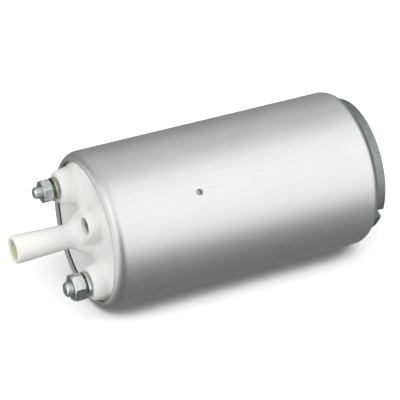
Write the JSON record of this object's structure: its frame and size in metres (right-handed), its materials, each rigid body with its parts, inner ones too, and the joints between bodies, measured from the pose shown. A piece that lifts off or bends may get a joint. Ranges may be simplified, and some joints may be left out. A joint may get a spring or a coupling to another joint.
{
  "type": "fuel pump",
  "caption": "In-tank electric fuel pump: rolled steel can, white outlet cover with hose nozzle and threaded terminals, die-cast inlet cover, vaned impeller and motor inside.",
  "frame": {"origin": "centre of the flat end face of the inlet cover, on which the pump stands", "axes": "+Z along the rotor axis towards the outlet nozzle; +X towards the side with the relief valve"},
  "size_m": [0.052, 0.052, 0.123],
  "materials": {
    "steel_can": "fine brushed around the can, satin",
    "white_acetal": "moulded, satin white",
    "die_cast": "as cast, grey",
    "zinc_plate": "bright zinc plate",
    "yellow_zinc": "yellow passivated zinc plate",
    "ground_steel": "ground",
    "spring_steel": "drawn wire",
    "black_phenolic": "moulded phenolic",
    "brown_phenolic": "moulded phenolic",
    "sintered_bronze": "sintered, matt",
    "ferrite": "sintered ferrite, matt",
    "lamination": "electrical steel",
    "enamelled_copper": "enamelled wire, impregnated",
    "bare_copper": "turned copper",
    "carbon": "pressed carbon",
    "brass": "stamped brass",
    "nitrile": "moulded rubber"
  },
  "bodies": {
    "housing": {"can": "steel_can", "outlet_cover": "white_acetal", "inlet_cover": "die_cast", "pump_body": "die_cast", "lower_bush": "sintered_bronze", "upper_bush": "sintered_bronze", "thrust_pad": "ground_steel", "flux_ring": "lamination", "magnet_near": "ferrite", "magnet_far": "ferrite", "magnet_clip_upper": "spring_steel", "magnet_clip_lower": "spring_steel", "brush_holder": "brown_phenolic", "brush_spring_upper": "spring_steel", "brush_spring_lower": "spring_steel", "terminal_plate_m4": "brass", "terminal_plate_m5": "brass", "terminal_stud_m4": "zinc_plate", "terminal_stud_m5": "zinc_plate", "lock_washer_m4": "yellow_zinc", "lock_washer_m5": "zinc_plate", "terminal_nut_m4": "zinc_plate", "terminal_nut_m5": "zinc_plate", "check_valve_spring": "spring_steel", "check_valve_retainer": "brass", "relief_valve_spring": "spring_steel", "relief_valve_retainer": "spring_steel", "cover_seal": "nitrile"},
    "rotor": {"rotor_shaft": "ground_steel", "impeller": "black_phenolic", "armature_core": "lamination", "armature_windings": "enamelled_copper", "commutator": "bare_copper"},
    "check_valve": {"check_valve_poppet": "nitrile"},
    "relief_valve": {"relief_valve_ball": "ground_steel"},
    "brush_upper": {"brush_upper": "carbon"},
    "brush_lower": {"brush_lower": "carbon"}
  },
  "joints": [
    {"name": "rotor_spin", "type": "hinge", "parent": "housing", "child": "rotor", "pos_m": [0, 0, 0.045], "axis": [0, 0, 1], "continuous": true},
    {"name": "check_valve_lift", "type": "slide", "parent": "housing", "child": "check_valve", "axis": [0, 0, 1], "range_m": [0, 0.0015], "stiffness_N_per_m": 150, "springref_m": -0.002, "deforming": ["check_valve_spring"]},
    {"name": "relief_valve_lift", "type": "slide", "parent": "housing", "child": "relief_valve", "axis": [0, 0, 1], "range_m": [0, 0.001], "stiffness_N_per_m": 300, "springref_m": -0.002, "deforming": ["relief_valve_spring"]},
    {"name": "brush_upper_slide", "type": "slide", "parent": "housing", "child": "brush_upper", "axis": [0, 0, 1], "range_m": [0, 0.003], "stiffness_N_per_m": 120, "springref_m": -0.006, "deforming": ["brush_spring_upper"]},
    {"name": "brush_lower_slide", "type": "slide", "parent": "housing", "child": "brush_lower", "axis": [0, 0, 1], "range_m": [0, 0.003], "stiffness_N_per_m": 120, "springref_m": -0.006, "deforming": ["brush_spring_lower"]}
  ]
}
